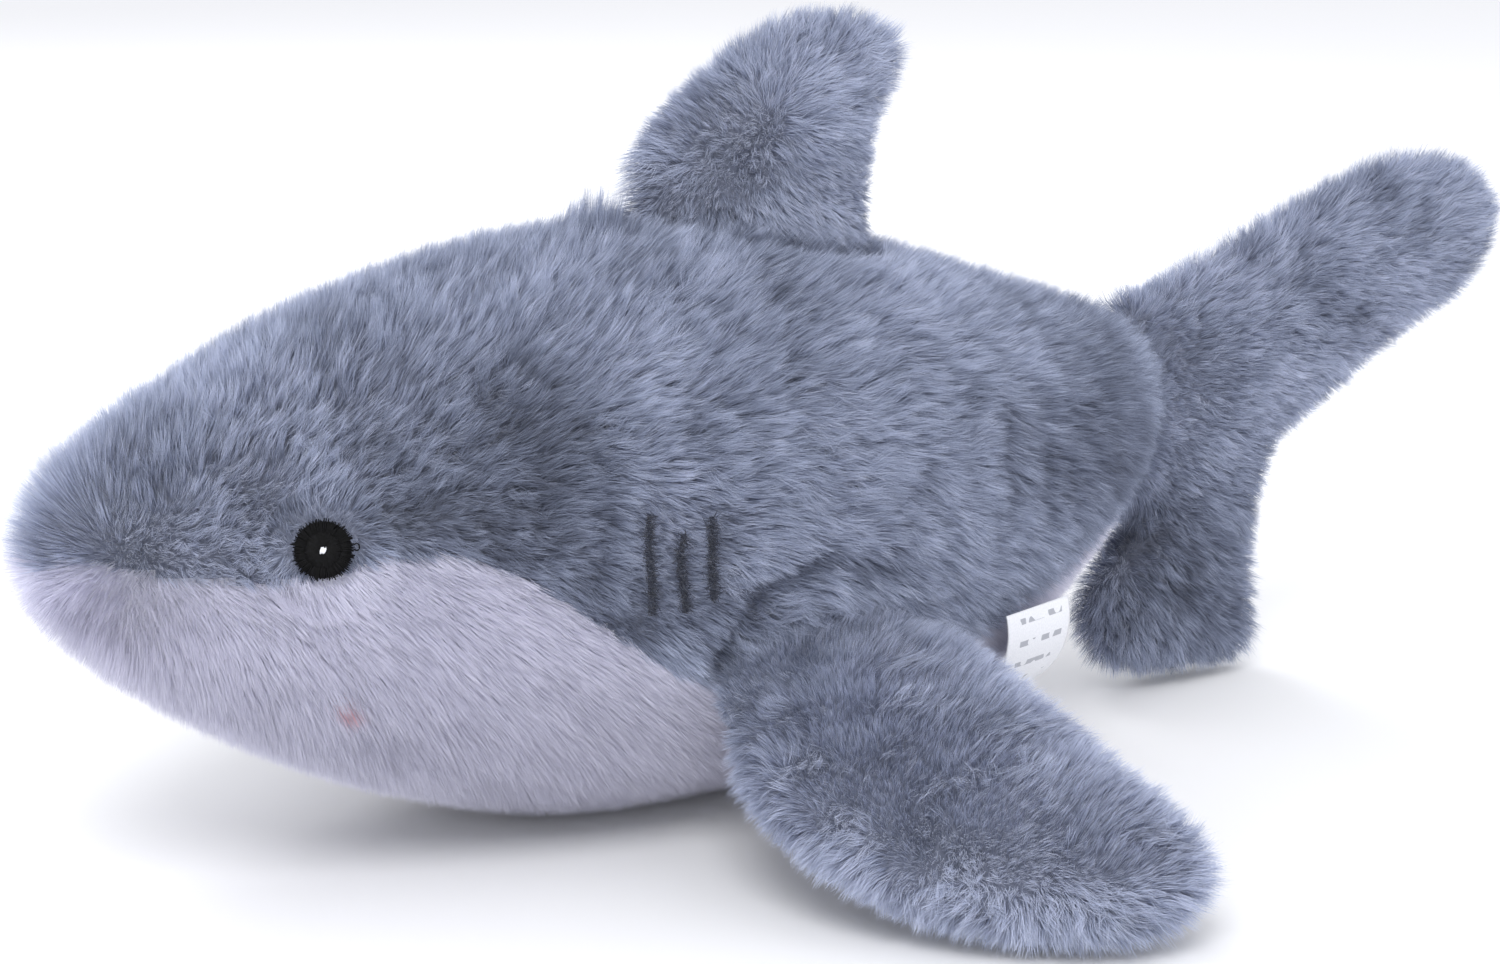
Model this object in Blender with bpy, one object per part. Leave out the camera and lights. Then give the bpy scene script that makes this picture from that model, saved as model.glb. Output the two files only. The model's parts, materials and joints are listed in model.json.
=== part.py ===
"""A long-pile plush shark lying on its belly: sewn fur panels over stuffing, with floppy padded fins.

The nose points to -X, the shark's left side faces -Y and up is +Z. The origin is on the flat of the
belly that rests on the table. Each outer surface is the surface of the fur, not of its backing cloth.
"""

import math

import bpy
import numpy as np

MM = 0.001

# Cloth and thread
BODY_PANEL = 5.0 * MM  # backing cloth with its pressed pile
FIN_PANEL = 4.0 * MM
THREAD_RADIUS = 0.5 * MM
TOUCH_GAP = 0.3 * MM  # between pieces that touch
STUFFING_GAP = 1.6 * MM  # room for seam allowances and thread inside a panel
THREAD_DEPTH = 0.8 * MM  # thread's middle, in from the inner side of a panel
THIN_SHARE = 0.42  # a panel takes at most this share of half a thin section
BODY_SEAM_SLACK = 1.4  # widens the seam's slit where the section is flatter than a circle
BODY_MOST_SLIT, FIN_MOST_SLIT = 0.15, 0.12  # radians, at the pointed ends
SHARP_EDGE = math.radians(50)

# Body: x, lowest z, highest z, half width
BODY_SECTIONS = (
    (-161, 64, 68, 2.0),
    (-158, 59, 79, 10.0),
    (-154, 55, 85, 16.0),
    (-142, 42, 93, 27.0),
    (-120, 27, 104, 39.5),
    (-85, 10, 117, 53.0),
    (-40, -1.2, 125.5, 61.0),
    (-10, -1.6, 127, 61.5),
    (25, -1.0, 122.5, 58.0),
    (60, 11, 112, 47.5),
    (95, 34, 101, 33.0),
    (115, 49.5, 94, 20.0),
    (124, 57, 88, 8.0),
    (126, 60, 85, 2.5),
)
# Seam between the grey sides and the white belly: x, degrees down from the ridge of the back
SEAM_ANGLES = (
    (-161, 84),
    (-154, 86),
    (-140, 89),
    (-124, 89.5),
    (-110, 86),
    (-96, 82),
    (-87, 83.5),
    (-72, 91),
    (-60, 101),
    (-50, 107),
    (-40, 113),
    (-10, 121),
    (25, 119),
    (55, 117.5),
    (75, 120),
    (95, 129),
    (112, 147),
    (126, 165),
)
BODY_STATIONS = 28
SIDE_STRIPS = 8
BELLY_STRIPS = 12
STUFFING_SIDES, FIN_STUFFING_SIDES = 20, 12

# Embroidery
EYE_X, EYE_Z, EYE_RADIUS = -115.0 * MM, 73.5 * MM, 5.8 * MM
EYE_SINK, EYE_THICK = 2.6 * MM, 1.8 * MM
HIGHLIGHT_RADIUS, HIGHLIGHT_THICK = 1.0 * MM, 0.5 * MM
EYE_POCKET_HEIGHT = 8 * MM  # runs out through the fur
GILL_XS = (-51.0 * MM, -44.0 * MM, -37.0 * MM)
GILL_LOW_Z, GILL_HIGH_Z, GILL_BOW = 56.0 * MM, 73.0 * MM, 1.2 * MM
GILL_STATIONS = 7
GILL_RADIUS, GILL_DEPTH = 0.9 * MM, 1.6 * MM
GILL_PATCH_X = (-57.0 * MM, -31.0 * MM)
GILL_PATCH_Z = (53.0 * MM, 76.0 * MM)
GILL_PATCH_DEPTH, GILL_PATCH_OUTSET = 3.0 * MM, 4.0 * MM  # in from the surface, and out past it

# Fins: leading edge x, z, trailing edge x, z, half thickness
DORSAL_SECTIONS = (
    (-35, 131.2, 45.5, 122.0, 3.0),
    (-31, 134.0, 46.5, 125.0, 11.0),
    (-21, 139.5, 46.0, 130.0, 16.5),
    (-10.5, 147.5, 44.0, 135.5, 18.0),
    (-1, 155.0, 44.5, 141.0, 17.0),
    (9, 162.0, 49.5, 147.0, 14.5),
    (21, 167.0, 53.5, 152.5, 11.5),
    (32.5, 168.0, 55, 158.0, 8.0),
    (41, 167.5, 52.5, 163.0, 3.0),
)
TAIL_SECTIONS = (
    (243, 112, 244, 104, 3.0),
    (236, 120.5, 240, 94, 8.5),
    (220, 126, 231, 84.5, 12.0),
    (202, 125, 214.5, 78.5, 13.5),
    (181, 119, 198.5, 70.5, 14.0),
    (160, 111, 183.5, 62.0, 13.5),
    (140, 104, 174.5, 56.0, 13.0),
    (123, 98.5, 169.5, 52.5, 12.5),
    (128.4, 84, 166.5, 49.0, 12.0),
    (128.4, 64, 164.5, 44.0, 12.0),
    (124, 47, 163.5, 39.0, 12.0),
    (116, 38.0, 163.5, 33.5, 12.0),
    (108, 31.0, 163.5, 27.5, 12.0),
    (103, 22.5, 165.0, 19.5, 12.0),
    (106.5, 11.0, 167, 8.5, 12.0),
    (111, 4.8, 167, 3.4, 9.0),
    (119, 2.0, 163, 1.2, 3.0),
)
# Pectoral fin in its own plane: distance out from the root, front edge, rear edge, half thickness
PECTORAL_SECTIONS = (
    (0, -27, 25, 3.0),
    (4, -31.5, 27, 8.5),
    (10, -37.5, 28, 13.5),
    (21, -43, 28, 16.0),
    (36, -44.5, 27, 16.5),
    (52, -42, 26.5, 16.0),
    (68, -36, 26.5, 15.0),
    (82, -26.5, 27.0, 13.0),
    (93.5, -14.5, 23.5, 9.5),
    (101.5, -1.5, 14.5, 3.5),
)
PECTORAL_ROOT = np.array((-9.0, -59.3, 40.0)) * MM
PECTORAL_ALONG = np.array((0.976, 0.0, 0.217))  # along the root seam, to the rear
PECTORAL_OUT = np.array((0.070, -0.940, -0.335))
FIN_STRIPS = 6
FIN_STATIONS = 11
TAIL_STATIONS = 17

# Joint points on the seams
DORSAL_PIVOT = (9.5 * MM, 0, 126.5 * MM)
TAIL_PIVOT = (127.2 * MM, 0, 65 * MM)

# Care label, a satin ribbon sewn into the belly seam
LABEL_PIVOT = (54.0 * MM, -48.9 * MM, 40.0 * MM)  # middle of its sewn edge
LABEL_TURN = math.radians(17)  # the sewn edge follows the narrowing body
LABEL_WIDTH, LABEL_LENGTH, LABEL_THICK = 24 * MM, 30 * MM, 0.7 * MM
LABEL_CURL = 18 * MM  # radius that it curls to, back under the body
LABEL_START = math.radians(-104)

# Colours
GREY_FUR = (0.235, 0.262, 0.348)
WHITE_FUR = (0.72, 0.70, 0.78)
STUFFING = (0.9, 0.9, 0.88)
BLACK_THREAD = (0.012, 0.012, 0.014)
WHITE_THREAD = (0.9, 0.9, 0.9)
DARK_THREAD = (0.06, 0.065, 0.08)
SEAM_THREAD = (0.3, 0.32, 0.36)
SATIN = (0.8, 0.8, 0.82)


def clear_scene():
    for thing in list(bpy.data.objects):
        bpy.data.objects.remove(thing, do_unlink=True)


def make_material(name, colour, roughness):
    made = bpy.data.materials.new(name)
    made.use_nodes = True
    shader = made.node_tree.nodes["Principled BSDF"]
    shader.inputs["Base Color"].default_value = (*colour, 1.0)
    shader.inputs["Roughness"].default_value = roughness
    shader.inputs["Metallic"].default_value = 0.0
    made.diffuse_color = (*colour, 1.0)
    return made


def smooth_through(knots, values, at):
    """Values at `at` on a smooth curve through the knots, which never overshoots between them."""
    knots, values = np.asarray(knots, float), np.asarray(values, float)
    at = np.clip(at, knots[0], knots[-1])
    steps = np.diff(knots)
    rises = np.diff(values) / steps
    slopes = np.empty_like(values)
    slopes[0], slopes[-1] = rises[0], rises[-1]
    before, after = rises[:-1], rises[1:]
    same_way = before * after > 0
    total = np.where(same_way, before + after, 1.0)
    slopes[1:-1] = np.where(same_way, 2 * before * after / total, 0.0)
    i = np.clip(np.searchsorted(knots, at, side="right") - 1, 0, len(steps) - 1)
    t = (at - knots[i]) / steps[i]
    start = (2 * t**3 - 3 * t**2 + 1) * values[i] + (t**3 - 2 * t**2 + t) * steps[i] * slopes[i]
    end = (3 * t**2 - 2 * t**3) * values[i + 1] + (t**3 - t**2) * steps[i] * slopes[i + 1]
    return start + end


class Loft:
    """Oval sections along a spine. Angle 0 is the `up` edge of a section and a quarter turn its `side`."""

    def __init__(self, knots, centre, side, up, half_side, half_up):
        self.knots = np.asarray(knots, float)
        self.centre = np.asarray(centre, float)
        self.side = np.broadcast_to(np.asarray(side, float), self.centre.shape)
        self.up = np.asarray(up, float)
        self.half_side = np.asarray(half_side, float)
        self.half_up = np.asarray(half_up, float)

    def at(self, table, t):
        if table.ndim == 1:
            return smooth_through(self.knots, table, t)
        return np.stack([smooth_through(self.knots, table[:, k], t) for k in range(3)], -1)

    def depth(self, t, inset):
        """The inset, or less where the section is too thin to hold it."""
        least = np.minimum(self.at(self.half_side, t), self.at(self.half_up, t))
        return np.minimum(inset, THIN_SHARE * least)

    def point(self, t, angle, inset=0.0, extra=0.0):
        """Points at spine places t and angles, both arrays, `inset` and `extra` below the surface."""
        t, angle = np.broadcast_arrays(np.asarray(t, float), np.asarray(angle, float))
        deep = self.depth(t, inset) + extra if inset >= 0 else np.full(t.shape, inset)
        up = self.at(self.up, t)
        up = up / np.linalg.norm(up, axis=-1, keepdims=True)
        across = (self.at(self.half_side, t) - deep) * np.sin(angle)
        high = (self.at(self.half_up, t) - deep) * np.cos(angle)
        found = self.at(self.centre, t) + self.at(self.side, t) * across[..., None] + up * high[..., None]
        if inset >= 0:
            found[..., 2] = np.maximum(found[..., 2], deep)
        return found


def body_loft():
    x, low, high, half = (np.array(column, float) * MM for column in zip(*BODY_SECTIONS))
    centre = np.stack([x, np.zeros_like(x), (low + high) / 2], -1)
    up = np.tile((0.0, 0.0, 1.0), (len(x), 1))
    return Loft(x, centre, (0.0, -1.0, 0.0), up, half, (high - low) / 2)


def flat_fin_loft(sections):
    """A fin in the middle plane, from the x and z of its two edges."""
    lead_x, lead_z, trail_x, trail_z, half = (np.array(c, float) * MM for c in zip(*sections))
    lead = np.stack([lead_x, np.zeros_like(lead_x), lead_z], -1)
    trail = np.stack([trail_x, np.zeros_like(lead_x), trail_z], -1)
    reach = np.linalg.norm(lead - trail, axis=1)
    up = (lead - trail) / reach[:, None]
    return Loft(range(len(half)), (lead + trail) / 2, (0.0, -1.0, 0.0), up, half, reach / 2)


def pectoral_loft(sign):
    """The left fin for sign -1, the right for sign 1. Its upper side is at a quarter turn."""
    flip = np.array((1.0, -sign, 1.0))
    out, front, rear, half = (np.array(c, float) * MM for c in zip(*PECTORAL_SECTIONS))
    along = PECTORAL_ALONG / np.linalg.norm(PECTORAL_ALONG)
    outward = PECTORAL_OUT - along * np.dot(PECTORAL_OUT, along)
    outward = outward / np.linalg.norm(outward)
    upward = np.cross(along, outward)
    upward = upward * math.copysign(1.0, upward[2])
    middle = (front + rear) / 2
    centre = PECTORAL_ROOT + outward * out[:, None] + along * middle[:, None]
    front_way = np.tile(-along * flip, (len(out), 1))
    return Loft(range(len(half)), centre * flip, upward * flip, front_way, half, (rear - front) / 2)


def add_object(name, points, faces, material, pivot=(0.0, 0.0, 0.0)):
    mesh = bpy.data.meshes.new(name)
    local = np.asarray(points, float) - np.asarray(pivot, float)
    mesh.from_pydata(local.tolist(), [], faces)
    six_volumes = 0.0
    for face in faces:
        a, b, c = local[face[0]], local[face[1]], local[face[2]]
        six_volumes += np.dot(a, np.cross(b, c))
        if len(face) == 4:
            six_volumes += np.dot(a, np.cross(c, local[face[3]]))
    if six_volumes < 0:
        mesh.flip_normals()
    mesh.materials.append(material)
    mesh.shade_smooth()
    mesh.set_sharp_from_angle(angle=SHARP_EDGE)
    made = bpy.data.objects.new(name, mesh)
    made.location = pivot
    bpy.context.scene.collection.objects.link(made)
    return made


def slab_mesh(outer, inner):
    """Points and faces of the closed slab between two grids of points, of the same shape."""
    rows, columns = outer.shape[:2]
    count = rows * columns
    index = np.arange(count).reshape(rows, columns)
    faces = []
    for i in range(rows - 1):
        for j in range(columns - 1):
            a, b, c, d = index[i, j], index[i, j + 1], index[i + 1, j + 1], index[i + 1, j]
            faces.append((a, b, c, d))
            faces.append((d + count, c + count, b + count, a + count))
    rim = [*index[0, :], *index[1:, -1], *index[-1, -2::-1], *index[-2:0:-1, 0]]
    for here, after in zip(rim, rim[1:] + rim[:1]):
        faces.append((after, here, here + count, after + count))
    faces = [tuple(int(v) for v in face) for face in faces]
    return np.concatenate([outer.reshape(-1, 3), inner.reshape(-1, 3)]), faces


def panel_mesh(loft, stations, start, end, strips, thickness):
    """A shell over the loft between two angles, each a number or one for every station."""
    share = np.linspace(0.0, 1.0, strips + 1)
    start = np.broadcast_to(start, stations.shape)[:, None]
    end = np.broadcast_to(end, stations.shape)[:, None]
    angles = start + (end - start) * share
    places = stations[:, None] + 0 * angles
    return slab_mesh(loft.point(places, angles), loft.point(places, angles, inset=thickness))


def core_mesh(loft, stations, thickness, sides):
    """The closed filling inside panels of this thickness."""
    angles = np.linspace(0.0, 2 * math.pi, sides, endpoint=False)
    places = stations[:, None] + 0 * angles
    rings = loft.point(places, angles, inset=thickness, extra=STUFFING_GAP)
    rows = len(stations)
    points = np.concatenate([rings.reshape(-1, 3), rings[0].mean(0)[None], rings[-1].mean(0)[None]])
    faces = []
    for j in range(sides):
        k = (j + 1) % sides
        for i in range(rows - 1):
            faces.append((i * sides + j, i * sides + k, (i + 1) * sides + k, (i + 1) * sides + j))
        faces.append((rows * sides, k, j))
        last = (rows - 1) * sides
        faces.append((rows * sides + 1, last + j, last + k))
    return points, faces


def tube_mesh(route, radius, sides=6):
    """A closed round tube along a route."""
    route = np.asarray(route, float)
    ahead = np.gradient(route, axis=0)
    ahead = ahead / np.linalg.norm(ahead, axis=1, keepdims=True)
    helper = np.array((0.0, 1.0, 0.0)) if abs(ahead[:, 1]).max() < 0.8 else np.array((1.0, 0.0, 0.0))
    first = np.cross(ahead, helper)
    first = first / np.linalg.norm(first, axis=1, keepdims=True)
    second = np.cross(ahead, first)
    turn = np.linspace(0.0, 2 * math.pi, sides, endpoint=False)[None, :, None]
    rings = route[:, None] + radius * (first[:, None] * np.cos(turn) + second[:, None] * np.sin(turn))
    points = np.concatenate([rings.reshape(-1, 3), route[:1], route[-1:]])
    rows = len(route)
    faces = []
    for j in range(sides):
        k = (j + 1) % sides
        for i in range(rows - 1):
            faces.append((i * sides + j, i * sides + k, (i + 1) * sides + k, (i + 1) * sides + j))
        faces.append((rows * sides, k, j))
        last = (rows - 1) * sides
        faces.append((rows * sides + 1, last + j, last + k))
    return points, faces


def disc_mesh(centre, normal, radius, thickness, sides=20):
    """A round pad whose upper rim is eased, standing on `centre` along the normal."""
    normal = normal / np.linalg.norm(normal)
    first = np.cross(normal, (0.0, 0.0, 1.0))
    first = first / np.linalg.norm(first)
    second = np.cross(normal, first)
    turn = np.linspace(0.0, 2 * math.pi, sides, endpoint=False)
    ring = first * np.cos(turn)[:, None] + second * np.sin(turn)[:, None]
    levels = ((1.0, 0.0), (1.0, 0.6), (0.8, 1.0))
    rings = [centre + ring * radius * wide + normal * thickness * high for wide, high in levels]
    points = np.concatenate([*rings, [centre], [centre + normal * thickness]])
    faces = []
    for j in range(sides):
        k = (j + 1) % sides
        for i in range(2):
            faces.append((i * sides + j, i * sides + k, (i + 1) * sides + k, (i + 1) * sides + j))
        faces.append((3 * sides, k, j))
        faces.append((3 * sides + 1, 2 * sides + j, 2 * sides + k))
    return points, faces


def body_angle(loft, x, z):
    """The angle from the ridge of the back at which the body's surface has this height."""
    middle = loft.at(loft.centre, x)[..., 2]
    return np.arccos(np.clip((z - middle) / loft.at(loft.half_up, x), -1, 1))


def surface_normal(loft, t, angle):
    small_t, small_angle = 0.2 * MM, 0.004
    ahead = loft.point(t + small_t, angle) - loft.point(t - small_t, angle)
    around = loft.point(t, angle + small_angle) - loft.point(t, angle - small_angle)
    normal = np.cross(around, ahead)
    outward = loft.point(t, angle) - loft.at(loft.centre, np.asarray(t, float))
    return normal / np.linalg.norm(normal) * math.copysign(1.0, float(np.dot(normal, outward)))


def cut(target, name, points, faces):
    """Cuts a pocket of this shape out of a piece."""
    cutter = add_object(name, points, faces, target.data.materials[0])
    cutter.hide_render = True
    cutter.display_type = "WIRE"
    pocket = target.modifiers.new(name, "BOOLEAN")
    pocket.operation = "DIFFERENCE"
    pocket.solver = "EXACT"
    pocket.object = cutter


def ease(count):
    """From 0 to 1 with the steps closer together at both ends."""
    even = np.linspace(0.0, 1.0, count)
    return 0.5 * even + 0.5 * (0.5 - 0.5 * np.cos(math.pi * even))


def build_body(looks):
    loft = body_loft()
    stations = loft.knots[0] + (loft.knots[-1] - loft.knots[0]) * ease(BODY_STATIONS)
    seam_x, seam = zip(*SEAM_ANGLES)
    seam = np.radians(smooth_through(np.array(seam_x) * MM, seam, stations))
    width = np.minimum(loft.at(loft.half_side, stations), loft.at(loft.half_up, stations))
    slit = np.minimum(TOUCH_GAP / 2 / width * BODY_SEAM_SLACK, BODY_MOST_SLIT)
    panels = {}
    for side, sign in (("left", 1.0), ("right", -1.0)):
        name = "side_panel_" + side
        start, end = sign * slit, sign * (seam - slit)
        mesh = panel_mesh(loft, stations, start, end, SIDE_STRIPS, BODY_PANEL)
        panels[side] = add_object(name, *mesh, looks["grey"])
    start, end = seam + slit, 2 * math.pi - seam - slit
    mesh = panel_mesh(loft, stations, start, end, BELLY_STRIPS, BODY_PANEL)
    add_object("belly_panel", *mesh, looks["white"])
    core = core_mesh(loft, stations[2:-2], BODY_PANEL, STUFFING_SIDES)
    add_object("body_stuffing", *core, looks["stuffing"])

    inside = stations[4:-3]
    for name, angle in (
        ("back_seam_thread", 0 * inside),
        ("belly_seam_thread_left", seam[4:-3]),
        ("belly_seam_thread_right", -seam[4:-3]),
    ):
        route = loft.point(inside, angle, inset=BODY_PANEL, extra=THREAD_DEPTH)
        add_object(name, *tube_mesh(route, THREAD_RADIUS), looks["seam"])
    for side, sign in (("left", 1.0), ("right", -1.0)):
        build_eye(loft, panels[side], side, sign, looks)
        build_gills(loft, panels[side], side, sign, looks)


def build_eye(loft, panel, side, sign, looks):
    angle = sign * float(body_angle(loft, EYE_X, EYE_Z))
    spot = loft.point(EYE_X, angle)
    normal = surface_normal(loft, EYE_X, angle)
    floor = spot - normal * EYE_SINK
    room = disc_mesh(floor - normal * TOUCH_GAP, normal, EYE_RADIUS + TOUCH_GAP, EYE_POCKET_HEIGHT)
    cut(panel, "eye_pocket_" + side, *room)
    add_object("eye_" + side, *disc_mesh(floor, normal, EYE_RADIUS, EYE_THICK), looks["black"])
    dot = floor + normal * (EYE_THICK + TOUCH_GAP)
    mesh = disc_mesh(dot, normal, HIGHLIGHT_RADIUS, HIGHLIGHT_THICK, 10)
    add_object("eye_highlight_" + side, *mesh, looks["bright"])


def build_gills(loft, panel, side, sign, looks):
    places = np.linspace(*GILL_PATCH_X, 4)[:, None]
    heights = np.linspace(*GILL_PATCH_Z, 6)[None, :]
    angles = sign * body_angle(loft, places + 0 * heights, heights + 0 * places)
    outer = loft.point(places + 0 * heights, angles, inset=-GILL_PATCH_OUTSET)
    inner = loft.point(places + 0 * heights, angles, inset=GILL_PATCH_DEPTH)
    cut(panel, "gill_pocket_" + side, *slab_mesh(outer, inner))
    for place, x in zip(("front", "middle", "rear"), GILL_XS):
        z = np.linspace(GILL_LOW_Z, GILL_HIGH_Z, GILL_STATIONS)
        xs = x - GILL_BOW * np.sin(np.linspace(0, math.pi, GILL_STATIONS))
        route = loft.point(xs, sign * body_angle(loft, xs, z), inset=GILL_DEPTH)
        add_object(f"gill_stitch_{side}_{place}", *tube_mesh(route, GILL_RADIUS), looks["gill"])


def build_fin(name, faces_of, loft, count, pivot, looks):
    """Two panels, their filling and the thread of the seam around the edge."""
    stations = (len(loft.knots) - 1) * ease(count)
    width = np.minimum(loft.at(loft.half_side, stations), loft.at(loft.half_up, stations))
    slit = np.minimum(TOUCH_GAP / width, FIN_MOST_SLIT)
    for face, turn in zip(faces_of, (0.0, math.pi)):
        mesh = panel_mesh(loft, stations, turn + slit, turn + math.pi - slit, FIN_STRIPS, FIN_PANEL)
        add_object(f"{name}_panel_{face}", *mesh, looks["grey"], pivot)
    mesh = core_mesh(loft, stations[2:-2], FIN_PANEL, FIN_STUFFING_SIDES)
    add_object(f"{name}_stuffing", *mesh, looks["stuffing"], pivot)
    inside = stations[3:-3]
    lead = loft.point(inside, 0 * inside, inset=FIN_PANEL, extra=THREAD_DEPTH)
    add_object(f"{name}_seam_thread", *tube_mesh(lead, THREAD_RADIUS), looks["seam"], pivot)


def build_label(looks):
    along = np.linspace(0.0, LABEL_LENGTH, 11)
    heading = LABEL_START + along / LABEL_CURL
    step = along[1] - along[0]
    inwards = np.concatenate([[0], np.cumsum(np.cos(heading[:-1]) * step)])
    rise = np.concatenate([[0], np.cumsum(np.sin(heading[:-1]) * step)])
    edge_way = np.array((math.cos(LABEL_TURN), math.sin(LABEL_TURN), 0.0))
    inward_way = np.array((-math.sin(LABEL_TURN), math.cos(LABEL_TURN), 0.0))
    upward = np.array((0.0, 0.0, 1.0))
    across = np.linspace(-0.5, 0.5, 4)[:, None, None] * LABEL_WIDTH * edge_way
    profile = inwards[:, None] * inward_way + rise[:, None] * upward
    outer = np.array(LABEL_PIVOT) + across + profile[None]
    skin = -np.sin(heading)[:, None] * inward_way + np.cos(heading)[:, None] * upward
    mesh = slab_mesh(outer, outer + skin[None] * LABEL_THICK)
    add_object("care_label", *mesh, looks["satin"], LABEL_PIVOT)


def main():
    clear_scene()
    looks = {
        "grey": make_material("grey_fur", GREY_FUR, 0.9),
        "white": make_material("white_fur", WHITE_FUR, 0.9),
        "stuffing": make_material("stuffing", STUFFING, 0.95),
        "black": make_material("black_thread", BLACK_THREAD, 0.5),
        "bright": make_material("white_thread", WHITE_THREAD, 0.5),
        "gill": make_material("gill_thread", DARK_THREAD, 0.6),
        "seam": make_material("seam_thread", SEAM_THREAD, 0.7),
        "satin": make_material("satin_label", SATIN, 0.4),
    }
    build_body(looks)
    dorsal = flat_fin_loft(DORSAL_SECTIONS)
    build_fin("dorsal", ("left", "right"), dorsal, FIN_STATIONS, DORSAL_PIVOT, looks)
    tail = flat_fin_loft(TAIL_SECTIONS)
    build_fin("tail", ("left", "right"), tail, TAIL_STATIONS, TAIL_PIVOT, looks)
    for side, sign in (("left", -1.0), ("right", 1.0)):
        root = PECTORAL_ROOT * np.array((1.0, -sign, 1.0))
        faces_of = ("upper", "lower")
        build_fin(f"pectoral_{side}", faces_of, pectoral_loft(sign), FIN_STATIONS, root, looks)
    build_label(looks)


main()
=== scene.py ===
"""The looks of a long-pile plush shark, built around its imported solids.

Every stuffed body gets a closed backing cloth, shrunk from the outside of its CAD panels and puffed by a short cloth
simulation that holds the seams down. The pile is real geometry: tapered fibres, gathered in tufts, that stand on the
backing and reach the outside of the CAD panels. The eyes and gills are stitched from thread, and the label is satin.
"""

import json
import math

import bpy
import numpy as np
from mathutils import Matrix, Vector, kdtree
from mathutils.bvhtree import BVHTree


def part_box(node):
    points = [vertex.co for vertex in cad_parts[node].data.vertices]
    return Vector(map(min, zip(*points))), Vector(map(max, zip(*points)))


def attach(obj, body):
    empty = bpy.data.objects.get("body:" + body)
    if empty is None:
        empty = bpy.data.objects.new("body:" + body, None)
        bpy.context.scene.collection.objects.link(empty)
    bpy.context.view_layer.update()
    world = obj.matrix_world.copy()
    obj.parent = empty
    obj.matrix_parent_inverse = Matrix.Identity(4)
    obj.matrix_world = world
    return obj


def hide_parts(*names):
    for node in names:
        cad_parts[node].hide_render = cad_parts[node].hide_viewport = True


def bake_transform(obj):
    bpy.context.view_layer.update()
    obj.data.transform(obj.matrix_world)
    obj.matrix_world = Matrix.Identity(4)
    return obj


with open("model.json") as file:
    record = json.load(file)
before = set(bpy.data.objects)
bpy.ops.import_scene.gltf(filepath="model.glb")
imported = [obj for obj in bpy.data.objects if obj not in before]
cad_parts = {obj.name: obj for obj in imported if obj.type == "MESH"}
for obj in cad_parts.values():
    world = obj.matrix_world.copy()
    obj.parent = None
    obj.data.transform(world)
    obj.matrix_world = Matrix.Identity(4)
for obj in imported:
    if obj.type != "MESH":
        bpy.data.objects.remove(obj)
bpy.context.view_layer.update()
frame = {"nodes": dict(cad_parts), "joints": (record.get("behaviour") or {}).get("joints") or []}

MM = 0.001
SEED = 20

# Backing cloth
REMESH = 3.2 * MM
BODY_DEPTH, FIN_DEPTH = 6.6 * MM, 4.8 * MM  # below the outside of the pile, before the cloth is puffed
THIN_SHARE = 0.32  # the most of a thin place's thickness that the pile of one side takes
PRESSURE = 4.0
PUFF_FRAMES = 20
PUFF_CAP = 1.6 * MM
SEAM_HOLD = 3.4 * MM  # cloth this near a seam thread's line is held down
ROOT_REACH = 15 * MM  # how far a fin's backing runs on into the body
ROOT_BAND = 9 * MM

# Pile
DENSITY = 9.4e6  # fibres on a square metre of backing
TUFT_SPACING = 1.7 * MM
FIBRE_WIDTH = 0.115 * MM
LONGEST, SHORTEST = 12.5 * MM, 2.4 * MM
OVERSHOOT = 0.1 * MM  # mean height of the tips above the CAD surface
LEAN_ROOT, LEAN_TIP = math.radians(11), math.radians(35)
LEAN_VARIES = math.radians(13)
SWIRL, RIPPLE = 0.35, 0.16  # how far the combing wanders, over 26 mm and 9 mm
LEAST_HEIGHT = 0.35 * MM  # the floor presses the pile flat here
MOST_FIBRES = 60000  # in one piece
ROOT_END = 0.42  # share of a fibre's length before its bend
TUFT_CROWD = 1.15  # tufts in a square of their spacing
TUFT_TURN, TUFT_STRETCH, TUFT_TONE = 0.34, 0.09, 0.12  # how much the tufts vary
FIBRE_TURN, FIBRE_STRETCH, FIBRE_TONE = 0.3, 0.12, 0.16  # and the fibres in a tuft
GATHER = (0.12, 0.42)  # how far the tips of a tuft come together
BEND_GATHER = 0.35  # the share of it at their bends
TIP_STRAY = 0.2 * MM
ROOT_SINK = 0.4 * MM
ROLL = 0.5

# Places, from the solids
JOINT = {joint["name"]: joint for joint in frame["joints"]}


def box_middle(node):
    low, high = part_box(node)
    return np.array((low + high) / 2)


def pivot(joint):
    return np.array(JOINT[joint]["pos_m"], float)


def unit(v):
    v = np.asarray(v, float)
    return v / np.maximum(np.linalg.norm(v, axis=-1, keepdims=True), 1e-12)


def smooth_step(x):
    x = np.clip(x, 0.0, 1.0)
    return x * x * (3 - 2 * x)


EYES = {side: box_middle("eye_" + side) for side in ("left", "right")}
EYE_RADIUS = 5.8 * MM


class Waves:
    """Smooth noise in space, about -1 to 1 in each channel: plane waves of one scale."""

    def __init__(self, scale, seed, channels=1, count=24):
        draw = np.random.default_rng(seed)
        away = unit(draw.normal(size=(count, 3)))
        self.waves = away * (2 * math.pi / scale * draw.uniform(0.7, 1.4, (count, 1)))
        self.shift = draw.uniform(0, 2 * math.pi, count)
        self.weights = draw.normal(size=(count, channels)) / math.sqrt(count)

    def __call__(self, points):
        found = np.cos(points @ self.waves.T + self.shift) @ self.weights
        return found[:, 0] if found.shape[1] == 1 else found


# ---------------------------------------------------------------- meshes


def new_object(name, mesh):
    made = bpy.data.objects.new(name, mesh)
    bpy.context.scene.collection.objects.link(made)
    return made


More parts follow.
